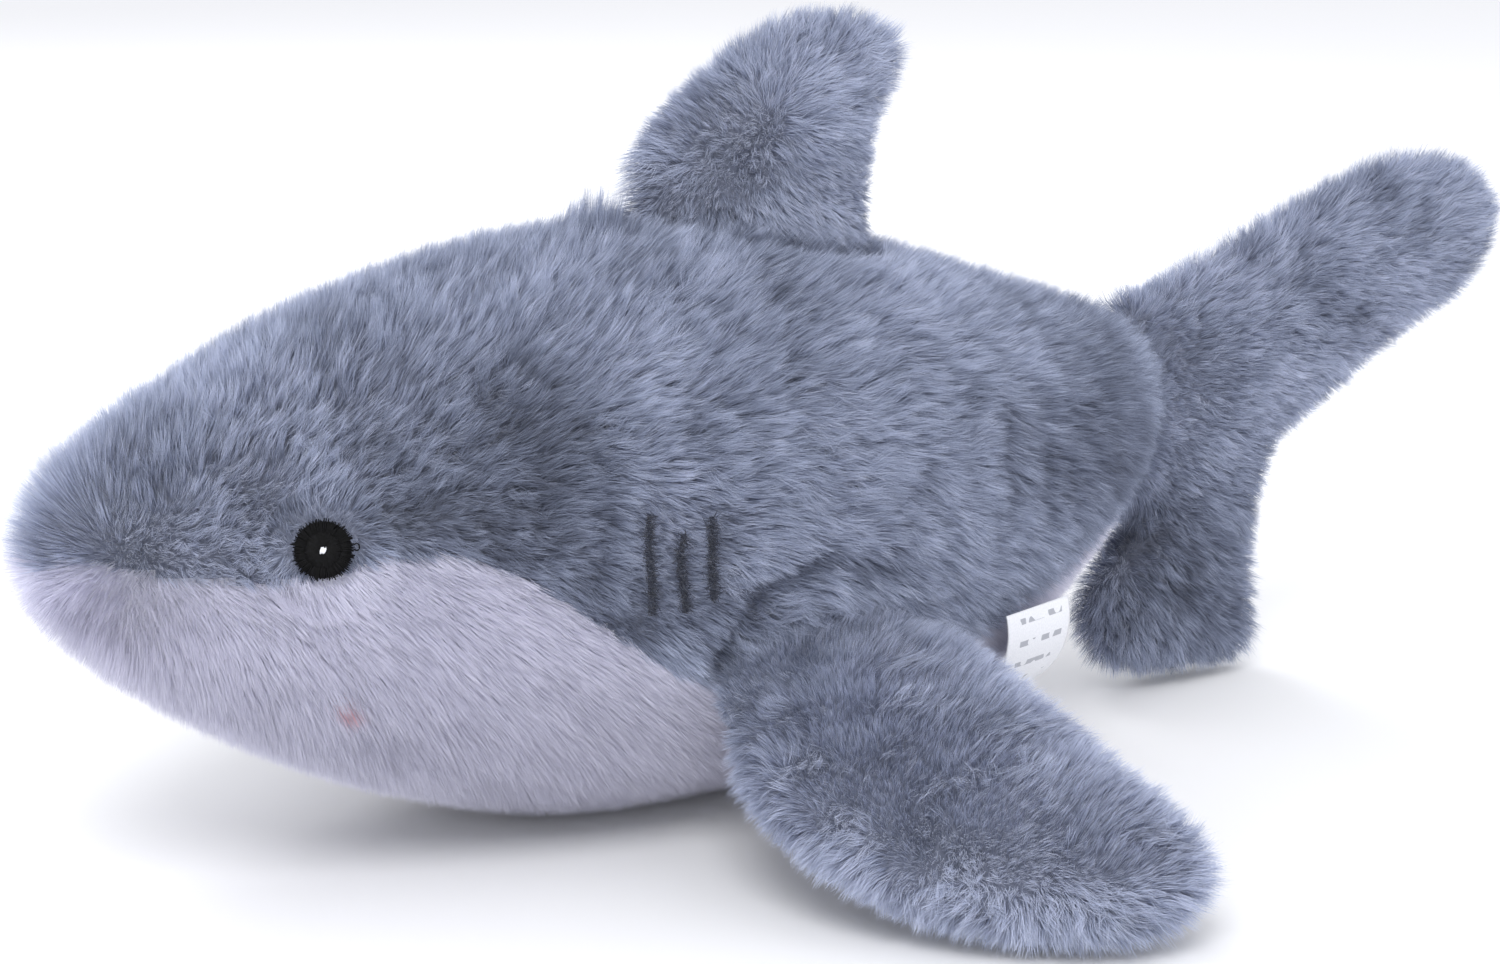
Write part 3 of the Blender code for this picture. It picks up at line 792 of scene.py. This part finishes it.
def torso_flow(points, normals):
    """Combed from nose to tail and down the sides, parted round the eyes and cropped at the gills."""
    x, z = points[:, 0], points[:, 2]
    sideways = np.abs(normals[:, 1])
    down = -(0.35 + 0.6 * smooth_step(x / (70 * MM))) * sideways
    aim = np.stack([np.ones(len(points)), np.zeros(len(points)), down], -1)
    turn_at, turn_over, lowest = NOSE
    nose = (smooth_step((turn_at - x) / turn_over) * smooth_step((z - lowest) / (14 * MM)))[:, None]
    aim = aim * (1 - nose) + np.array((0.8, 0.0, 0.35)) * nose
    tip = smooth_step((turn_at - x) / turn_over)
    head = smooth_step((-30 * MM - x) / (30 * MM))
    lean = (1 - 0.5 * tip) * (1 - 0.12 * head)
    trim = (1 + 0.28 * tip) * (1 - 0.82 * under_dorsal(points))
    from_parting = points - PARTING
    open_here = np.exp(-((np.linalg.norm(from_parting, axis=1) / (8 * MM)) ** 2))[:, None]
    aim = aim * (1 - 0.8 * open_here) + unit(from_parting) * open_here * 0.8
    trim = trim * (1 - 0.15 * open_here[:, 0])
    climb = before_dorsal(points)
    trim = trim * (1 + 0.7 * climb)
    lean = lean * (1 - 0.5 * climb)
    for crease in CREASES:
        trim = trim * (1 - crease[5] * crease_at(points, crease))
    for side in ("left", "right"):
        eye = EYES[side]
        away = points - eye
        far = np.linalg.norm(away, axis=1)
        near = 1 - smooth_step((far - EYE_RADIUS) / (9 * MM))
        near = near * (1 - 0.7 * smooth_step((eye[2] - 3.5 * MM - z) / (3 * MM)))
        aim = aim * (1 - near)[:, None] + unit(away) * near[:, None] * 1.6
        trim = trim * (1 - 0.35 * near)
        middle, reach = GILLS[side]
        offset = (points - middle)[:, [0, 2]] / (reach[[0, 2]] + 3.5 * MM)
        same = np.sign(points[:, 1]) == np.sign(middle[1])
        inside = (1 - smooth_step((np.linalg.norm(offset, ord=4, axis=1) - 0.75) / 0.55)) * same
        trim = trim * (1 - 0.38 * inside)
        lean = lean * (1 - 0.25 * inside)
        for line in GILL_LINES[side]:
            beside = points[:, None, [0, 2]] - line[None, ::6][:, :, [0, 2]]
            near_line = np.exp(-((np.linalg.norm(beside, axis=2).min(1) / (1.0 * MM)) ** 2)) * same
            trim = trim * (1 - 0.16 * near_line)
    return aim, trim, lean


WHORL = pivot("dorsal_flop") + np.array((5, 0, 15.5)) * MM


def dorsal_flow(points, normals):
    """Away from a whorl in the rear half, a little backwards below it, and longer at the low front edge."""
    away = radial(points, WHORL, (1.0, 0.3, 1.0))
    back = np.array((0.5, 0.0, 0.0)) * smooth_step((WHORL[2] - 6 * MM - points[:, 2]) / (14 * MM))[:, None]
    ahead = smooth_step((WHORL[0] - 28 * MM - points[:, 0]) / (10 * MM))
    front = ahead * (1 - smooth_step((points[:, 2] - WHORL[2] - 2 * MM) / (12 * MM)))
    away[:, 2] = away[:, 2] * (1 - 0.9 * front)
    return away + back, 1 + 0.45 * front, 1 - 0.25 * front


def tail_flow(points, normals):
    """Away from the root, out to the tips of both lobes."""
    middle = pivot("tail_swing") - np.array((12, 0, -4)) * MM
    return radial(points, middle, (1.0, 0.5, 1.0)), np.ones(len(points)), np.ones(len(points))


DIMPLE = np.array((-17.0, -127.0, 28.0)) * MM  # a small hollow near the left pectoral fin's tip


def pectoral_flow(side):
    joint = f"pectoral_{side}_flap"
    start, along = pivot(joint), unit(JOINT[joint]["axis"])
    reach = box_middle(f"pectoral_{side}_stuffing") - start
    outward = unit(reach - along * (reach @ along))

    def flow(points, normals):
        offset = points - start
        across, out = offset @ along, offset @ outward
        middle = reach @ along
        aim = outward * (0.45 + 0.6 * smooth_step(out / (90 * MM)))[:, None]
        aim = aim + along * ((across - middle) / (30 * MM))[:, None]
        dimple = np.exp(-((np.linalg.norm(points - DIMPLE, axis=1) / (5 * MM)) ** 2))
        return aim, 1 - 0.45 * dimple, 0.85 - 0.4 * dimple

    return flow


# ---------------------------------------------------------------- the stuffed bodies

SIDES = ("left", "right")
TORSO_PANELS = ["side_panel_left", "side_panel_right", "belly_panel"]
TORSO_THREADS = ["back_seam_thread", "belly_seam_thread_left", "belly_seam_thread_right"]


def raise_under_eyes(skin, outside):
    """Lifts the backing close under the embroidered eyes."""
    points, normals = points_of(skin.data), normals_of(skin.data)
    for eye in EYES.values():
        far = np.linalg.norm(points - eye, axis=1)
        for i in np.flatnonzero(far < 16 * MM):
            depth = outside.find_nearest(Vector(points[i]))[3]
            want = 3.0 * MM + 3.6 * MM * float(smooth_step((far[i] - 6.5 * MM) / (6.5 * MM)))
            points[i] += normals[i] * max(0.0, depth - want)
    set_points(skin.data, points)


def build_torso():
    nodes = frame["nodes"]
    skin, outside = backing("backing_torso", TORSO_PANELS, TORSO_THREADS, BODY_DEPTH)
    raise_under_eyes(skin, outside)
    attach(skin, "torso")
    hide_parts(*TORSO_PANELS, *TORSO_THREADS, "body_stuffing")

    belly, sides = tree_of(nodes["belly_panel"].data), tree_of(*(nodes["side_panel_" + s].data for s in SIDES))

    def white_at(points):
        return np.array([belly.find_nearest(Vector(p))[3] < sides.find_nearest(Vector(p))[3] for p in points])

    places = points_of(skin.data)
    calm = np.maximum(white_at(places), 0.85 * smooth_step((NOSE[0] - places[:, 0]) / NOSE[1]))
    fibres = grow(skin, outside, torso_flow, calm=calm)
    seen = fibres["roots"] * 0.4 + fibres["tips"] * 0.6
    seen = seen + Waves(3 * MM, SEED + 7, channels=3)(seen) * 0.5 * MM
    white = white_at(seen)
    clear = np.ones(len(seen), bool)
    for eye in EYES.values():
        clear &= np.linalg.norm(fibres["place"] - eye, axis=1) > EYE_RADIUS + 0.5 * MM
    patches = Waves(34 * MM, SEED + 8)(fibres["place"]) * 0.11 + Waves(11 * MM, SEED + 10)(fibres["place"]) * 0.08
    draw = np.random.default_rng(SEED + 9)

    def settle(obj):
        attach(obj, "torso")

    left = fibres["place"][:, 1] < 0
    # Painted light: the white pile lighter higher up the jaw and toward the nose
    jaw_painted_light = 0.36 * smooth_step((fibres["place"][:, 2] - 34 * MM) / (23 * MM))
    jaw_painted_light = jaw_painted_light * (0.5 + 0.5 * smooth_step((-85 * MM - fibres["place"][:, 0]) / (35 * MM)))
    tone = np.where(white, 0.52 + jaw_painted_light + patches * 0.6, 0.50 + patches + torso_painted_light_and_shade(fibres["place"]))
    fleck = np.linalg.norm(fibres["tips"] - FLECK, axis=1) + draw.normal(0, 0.9 * MM, len(seen)) < FLECK_RADIUS
    pile_pieces("pile_side_left", fibres, clear & ~white & left, tone, "grey", settle, draw)
    pile_pieces("pile_side_right", fibres, clear & ~white & ~left, tone, "grey", settle, draw)
    pile_pieces("pile_belly", fibres, clear & white, tone, "white", settle, draw, stained=fleck)
    skin.data.polygons.foreach_set("material_index", white_at(face_middles(skin.data)).astype(np.int32))
    return outside


def build_fin(name, panels, flow, root, tone_of, seed):
    skin, outside = backing("backing_" + name, panels, [f"{name}_seam_thread"], FIN_DEPTH, root)
    fibres = grow(skin, outside, flow, seed=seed)
    draw = np.random.default_rng(seed + 5)
    mottle = Waves(30 * MM, seed + 6)(fibres["place"]) * 0.11 + Waves(10 * MM, seed + 7)(fibres["place"]) * 0.08
    # The fins' pile starts 0.12 lighter in tone than the body's: painted light
    tone = 0.62 + mottle + tone_of(fibres["place"])

    def settle(obj):
        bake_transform(obj)

    settle(skin)
    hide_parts(*panels, f"{name}_seam_thread", f"{name}_stuffing")
    pile_pieces("pile_" + name, fibres, np.ones(len(tone), bool), tone, "grey", settle, draw)


def build_fins():
    def even(points):
        return np.zeros(len(points))

    # Painted light across the pectoral fin's middle and painted shade at its root
    def painted_light_and_root_shade(points):
        away = np.abs(points[:, 1])
        root = 1 - smooth_step((away - 60 * MM) / (18 * MM))
        return 0.12 + 0.17 * np.exp(-(((away - 112 * MM) / (34 * MM)) ** 2)) - 0.2 * root

    up = np.array((0.0, 0.0, 1.0))
    hinge = pivot("dorsal_flop")
    build_fin(
        "dorsal", ["dorsal_panel_left", "dorsal_panel_right"], dorsal_flow,
        (hinge + up * 6 * MM, -up, 60 * MM), even, SEED + 100,
    )
    back = np.array((1.0, 0.0, 0.0))
    hinge = pivot("tail_swing")

    # Painted shade: the tail's pile darker downward over the lower lobe
    def painted_shade_below(points):
        return -0.06 - 0.26 * smooth_step((hinge[2] + 8 * MM - points[:, 2]) / (40 * MM))

    build_fin(
        "tail", ["tail_panel_left", "tail_panel_right"], tail_flow,
        (hinge + back * 6 * MM + up * 6 * MM, -back, 20 * MM),
        painted_shade_below, SEED + 200,
    )
    for number, side in enumerate(SIDES):
        joint = f"pectoral_{side}_flap"
        hinge, along = pivot(joint), unit(JOINT[joint]["axis"])
        reach = box_middle(f"pectoral_{side}_stuffing") - hinge
        outward = unit(reach - along * (reach @ along))
        build_fin(
            f"pectoral_{side}",
            [f"pectoral_{side}_panel_upper", f"pectoral_{side}_panel_lower"], pectoral_flow(side),
            (hinge + outward * 5 * MM, -outward, 60 * MM),
            painted_light_and_root_shade, SEED + 300 + 100 * number,
        )


# ---------------------------------------------------------------- embroidery and label


def thread_tubes(name, routes, radius, sides=5):
    """Closed round threads along routes, which all have the same number of points, thinner at their ends."""
    routes = np.asarray(routes, float)
    count, rows = routes.shape[:2]
    ahead = unit(np.gradient(routes, axis=1))
    helper = np.where(np.abs(ahead[..., 2:3]) < 0.8, np.array((0.0, 0.0, 1.0)), np.array((1.0, 0.0, 0.0)))
    first = unit(np.cross(ahead, helper))
    second = np.cross(ahead, first)
    turn = np.linspace(0, 2 * math.pi, sides, endpoint=False)[None, None, :, None]
    ends = 0.45 + 0.55 * np.sin(np.linspace(0.12, math.pi - 0.12, rows)) ** 0.5
    ring = first[:, :, None] * np.cos(turn) + second[:, :, None] * np.sin(turn)
    points = routes[:, :, None] + ring * (radius * ends)[None, :, None, None]
    faces = []
    for k in range(count):
        base = k * rows * sides
        for j in range(sides):
            nxt = (j + 1) % sides
            for i in range(rows - 1):
                a, b = base + i * sides, base + (i + 1) * sides
                faces.append((a + j, a + nxt, b + nxt, b + j))
        faces.append(tuple(base + j for j in reversed(range(sides))))
        faces.append(tuple(base + (rows - 1) * sides + j for j in range(sides)))
    return new_object(name, mesh_from(name, points.reshape(-1, 3), faces))


def finish_piece(obj, body, look, slot, *nodes):
    obj.data.materials.clear()
    obj.data.materials.append(LOOKS[look])
    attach(obj, body)
    if nodes:
        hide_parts(*nodes)


STITCH_RADIUS = 0.17 * MM
STITCHES = 120  # around an eye, in each of its two rings
EYE_RINGS = ((0.50, 1.0, 0.05), (0.04, 0.66, 0.22))  # from and to, shares of the radius, and mm above the pile
PAD_SIDES, PAD_SHARE = 48, 0.93
LOOP_POINTS = 14
DOT_STITCHES = ((1.25, -0.34), (1.45, 0.0), (1.1, 0.34))  # tilt, mm aside


def build_eye(side, outside):
    """A satin-stitched disc: two rings of radial stitches, a white dot of three stitches and a loose loop."""
    draw = np.random.default_rng(SEED + 40)
    centre = EYES[side]
    normal = np.array(outside.find_nearest(Vector(centre))[1])
    normal = normal * np.sign(normal @ (centre - np.array((centre[0], 0.0, centre[2]))))
    back = unit(np.array((1.0, 0.0, 0.0)) - normal * normal[0])
    up = np.cross(normal, back)
    up = up * np.sign(up[2])
    top = centre + normal * 0.75 * MM

    def spot(radius, angle, height):
        way = back * np.cos(angle)[..., None] + up * np.sin(angle)[..., None]
        return top + way * radius[..., None] + normal * height[..., None]

    angle = np.linspace(0, 2 * math.pi, STITCHES, endpoint=False)
    share = np.linspace(0, 1, 6)
    routes = []
    for start, end, low in EYE_RINGS:
        reach = end * (1 + draw.normal(0, 0.035, STITCHES))
        radius = EYE_RADIUS * (start + (reach[:, None] - start) * share)
        turned = (angle + draw.normal(0, 0.012, STITCHES))[:, None] + 0 * share
        height = MM * (low + 0.42 * np.sin(math.pi * (0.12 + 0.82 * share))[None] + 0 * radius)
        routes.append(spot(radius, turned, height))
    eye = thread_tubes(f"stitched_eye_{side}", np.concatenate(routes), STITCH_RADIUS, sides=4)
    finish_piece(eye, "torso", "black", "black_thread", f"eye_{side}")

    turn = np.linspace(0, 2 * math.pi, PAD_SIDES, endpoint=False)
    rim = (back * np.cos(turn)[:, None] + up * np.sin(turn)[:, None]) * EYE_RADIUS * PAD_SHARE
    under = [top - normal * 0.9 * MM + way for way in rim]
    over = [point + normal * 1.0 * MM for point in under]
    faces = [(i, (i + 1) % PAD_SIDES, PAD_SIDES + (i + 1) % PAD_SIDES, PAD_SIDES + i) for i in range(PAD_SIDES)]
    faces += [tuple(range(PAD_SIDES - 1, -1, -1)), tuple(range(PAD_SIDES, 2 * PAD_SIDES))]
    pad = new_object(f"eye_pad_{side}", mesh_from(f"eye_pad_{side}", np.array(under + over), faces))
    finish_piece(pad, "torso", "black", "black_thread")

    loop_angle = np.linspace(-2.6, 2.6, 6)
    reach = EYE_RADIUS * 1.09 + 0.62 * MM * np.cos(loop_angle)
    loop = top + (back * reach[:, None]) + up * (0.75 * MM * np.sin(loop_angle))[:, None]
    loop = loop + normal * 0.5 * MM
    at = np.linspace(0, 5, LOOP_POINTS)
    route = np.stack([np.interp(at, range(6), loop[:, k]) for k in range(3)], -1)
    loose = thread_tubes(f"eye_loop_{side}", [route], 0.16 * MM)
    finish_piece(loose, "torso", "black", "black_thread")

    dots = []
    for tilt, shift in DOT_STITCHES:
        way = back * math.cos(tilt) + up * math.sin(tilt)
        beside = back * shift * MM
        long = np.linspace(-0.62, 0.62, 6)[:, None] * MM
        arch = 0.72 * MM + 0.25 * MM * np.cos(np.linspace(-1.3, 1.3, 6))
        dots.append(top + beside + way * long + normal * arch[:, None])
    dot = thread_tubes(f"stitched_highlight_{side}", dots, 0.26 * MM, sides=8)
    finish_piece(dot, "torso", "bright", "white_thread", f"eye_highlight_{side}")


FUZZ_LENGTH = 2.2 * MM
FUZZ = 900  # fibres along one gill


def build_gill(side, place):
    """Stitches across the line of a gill, fuzzy with the fibres that they catch."""
    draw = np.random.default_rng(SEED + 50 + 3 * (side == "right") + GILL_PLACES.index(place))
    line = GILL_LINES[side][GILL_PLACES.index(place)]
    count = len(line)
    ahead = unit(np.gradient(line, axis=0))
    outward = unit(np.stack([0 * line[:, 0], line[:, 1], 0 * line[:, 0]], -1) + 1e-9)
    across = unit(np.cross(ahead, outward))
    share = np.linspace(-1, 1, 5)[None, :, None]
    wide = (0.68 * MM * (1 + draw.normal(0, 0.25, count)).clip(0.4, 1.5))[:, None, None]
    sink = 1.3 * MM
    arch = (1 - share**2) * 0.35 * MM
    routes = line[:, None] + across[:, None] * share * wide + outward[:, None] * (arch - sink)
    if place == "rear":
        routes = routes[np.sin(np.arange(count) * 0.42 + 1.2) > -0.55]
    wraps = thread_tubes(f"stitched_gill_{side}_{place}", routes, 0.19 * MM, sides=5)
    finish_piece(wraps, "torso", "gill", "gill_thread", f"gill_stitch_{side}_{place}")

    at = draw.uniform(0, count - 1, FUZZ)
    root = np.stack([np.interp(at, range(count), line[:, k]) for k in range(3)], -1)
    facing, beside = outward[at.astype(int)], across[at.astype(int)]
    root = root + beside * draw.normal(0, 0.6 * MM, FUZZ)[:, None] - facing * sink
    way = unit(facing * 0.8 + draw.normal(size=(FUZZ, 3)) * 0.6)
    tips = root + way * (FUZZ_LENGTH * draw.uniform(0.5, 1.1, FUZZ))[:, None]
    sides = unit(np.cross(way, facing) + 1e-6)
    width = FIBRE_WIDTH * draw.uniform(0.8, 1.3, FUZZ)
    name = f"gill_fuzz_{side}_{place}"
    mesh = fibre_mesh(name, root, (root + tips) / 2, tips, sides, width, draw.uniform(0.1, 0.8, FUZZ))
    finish_piece(new_object(name, mesh), "torso", "gill_fuzz", "gill_thread")


LABEL_WIDTH, LABEL_LENGTH, LABEL_THICK = 24 * MM, 30 * MM, 0.35 * MM
LABEL_TURN, LABEL_START, LABEL_CURL = math.radians(17), math.radians(-104), 18 * MM
LABEL_FOLD = 3.2 * MM  # the turned edge at the label's left


def build_label():
    """The satin label: sewn in along its upper edge and curling back under the body."""
    rows, columns = 41, 33
    along = np.linspace(0, LABEL_LENGTH, rows)
    heading = LABEL_START + along / LABEL_CURL
    step = along[1]
    inwards = np.concatenate([[0], np.cumsum(np.cos(heading[:-1]) * step)])
    rise = np.concatenate([[0], np.cumsum(np.sin(heading[:-1]) * step)])
    edge_way = np.array((math.cos(LABEL_TURN), math.sin(LABEL_TURN), 0.0))
    inward_way = np.array((-math.sin(LABEL_TURN), math.cos(LABEL_TURN), 0.0))
    upward = np.array((0.0, 0.0, 1.0))
    skin = -np.sin(heading)[:, None] * inward_way + np.cos(heading)[:, None] * upward
    across = np.linspace(-0.5, 0.5, columns) * LABEL_WIDTH
    fold = 0.28 * MM * np.exp(-(((across + LABEL_WIDTH / 2 - LABEL_FOLD) / (0.5 * MM)) ** 2))
    free = (along / LABEL_LENGTH)[:, None]
    ripple = 0.5 * MM * free * np.sin(across[None] / (4.2 * MM) + along[:, None] / (9 * MM))
    profile = inwards[:, None] * inward_way + rise[:, None] * upward
    outer = pivot("label_flip") + profile[:, None] + across[None, :, None] * edge_way
    outer = outer - skin[:, None] * (fold[None] * free + ripple * 0.6)[..., None]
    inner = outer + skin[:, None] * LABEL_THICK
    count = rows * columns
    index = np.arange(count).reshape(rows, columns)
    a, b, c, d = index[:-1, :-1], index[:-1, 1:], index[1:, 1:], index[1:, :-1]
    top = np.stack([a, b, c, d], -1).reshape(-1, 4)
    rim = np.concatenate([index[0], index[1:, -1], index[-1, -2::-1], index[-2:0:-1, 0]])
    after = np.roll(rim, -1)
    faces = np.concatenate([top, top[:, ::-1] + count, np.stack([after, rim, rim + count, after + count], -1)])
    mesh = mesh_from("satin_label", np.concatenate([outer.reshape(-1, 3), inner.reshape(-1, 3)]), faces)
    u, v = np.meshgrid(np.linspace(0.01, 0.99, columns), np.linspace(0.99, 0.01, rows))
    flat = np.tile(np.stack([u.ravel(), v.ravel()], -1), (2, 1))
    layer = mesh.uv_layers.new(name="OFBake")
    layer.data.foreach_set("uv", flat[corners_of(mesh)].astype(np.float32).ravel())
    label = new_object("satin_label", mesh)
    finish_piece(label, "label", "satin", "satin_label", "care_label")


# ---------------------------------------------------------------- camera, light and floor


TARGET = Vector((0.012, 0.0, 0.064))
AZIMUTH, ELEVATION, DISTANCE = math.radians(-35), math.radians(12), 0.75
VIEW_WIDTH = 0.330  # seen across the picture, at the target


def build_stage():
    scene = bpy.context.scene
    scene.view_settings.view_transform = "Standard"
    back = Vector((
        math.sin(AZIMUTH) * math.cos(ELEVATION), -math.cos(AZIMUTH) * math.cos(ELEVATION), math.sin(ELEVATION)
    ))
    lens = bpy.data.cameras.new("camera")
    lens.sensor_width, lens.lens = 36.0, 36.0 * DISTANCE / VIEW_WIDTH
    lens.clip_start, lens.clip_end = 0.05, 20
    camera = bpy.data.objects.new("camera", lens)
    camera.location = TARGET + back * DISTANCE
    camera.rotation_mode = "QUATERNION"
    camera.rotation_quaternion = (-back).to_track_quat("-Z", "Y")
    scene.collection.objects.link(camera)
    scene.camera = camera

    world = bpy.data.worlds.new("studio")
    scene.world = world
    world.use_nodes = True
    sky = world.node_tree.nodes["Background"]
    sky.inputs["Color"].default_value = (0.95, 0.96, 1.0, 1.0)
    sky.inputs["Strength"].default_value = 0.95

    def area_light(name, place, size, power, colour=(1.0, 1.0, 1.0)):
        light = bpy.data.lights.new(name, "AREA")
        light.shape, light.size = "DISK", size
        light.energy, light.color = power, colour
        lamp = bpy.data.objects.new(name, light)
        lamp.location = place
        lamp.rotation_mode = "QUATERNION"
        lamp.rotation_quaternion = (Vector(place) - TARGET).to_track_quat("Z", "Y")
        scene.collection.objects.link(lamp)

    area_light("key_light", (-0.8, -0.9, 1.4), 0.9, 13.0)
    area_light("fill_light", (-0.9, -1.2, 0.35), 1.0, 4.0, (0.96, 0.98, 1.0))
    area_light("rim_light", (0.3, 1.4, 1.2), 0.9, 7.0)

    points = np.array([(-15, -15, 0), (15, -15, 0), (15, 15, 0), (-15, 15, 0)], float)
    floor = new_object("floor", mesh_from("floor", points, [(0, 1, 2, 3)]))
    made, nodes, links, shader = new_material("floor_paper", 0.9)
    stops = [(0.0, (0.955, 0.955, 0.96)), (1.0, (0.975, 0.975, 0.98))]
    links.new(ramp(nodes, links, noise(nodes, links, None, 3), stops), shader.inputs["Base Color"])
    floor.data.materials.append(made)


build_stage()
outside_torso = build_torso()
build_fins()
for side in SIDES:
    build_eye(side, outside_torso)
    for place in GILL_PLACES:
        build_gill(side, place)
build_label()
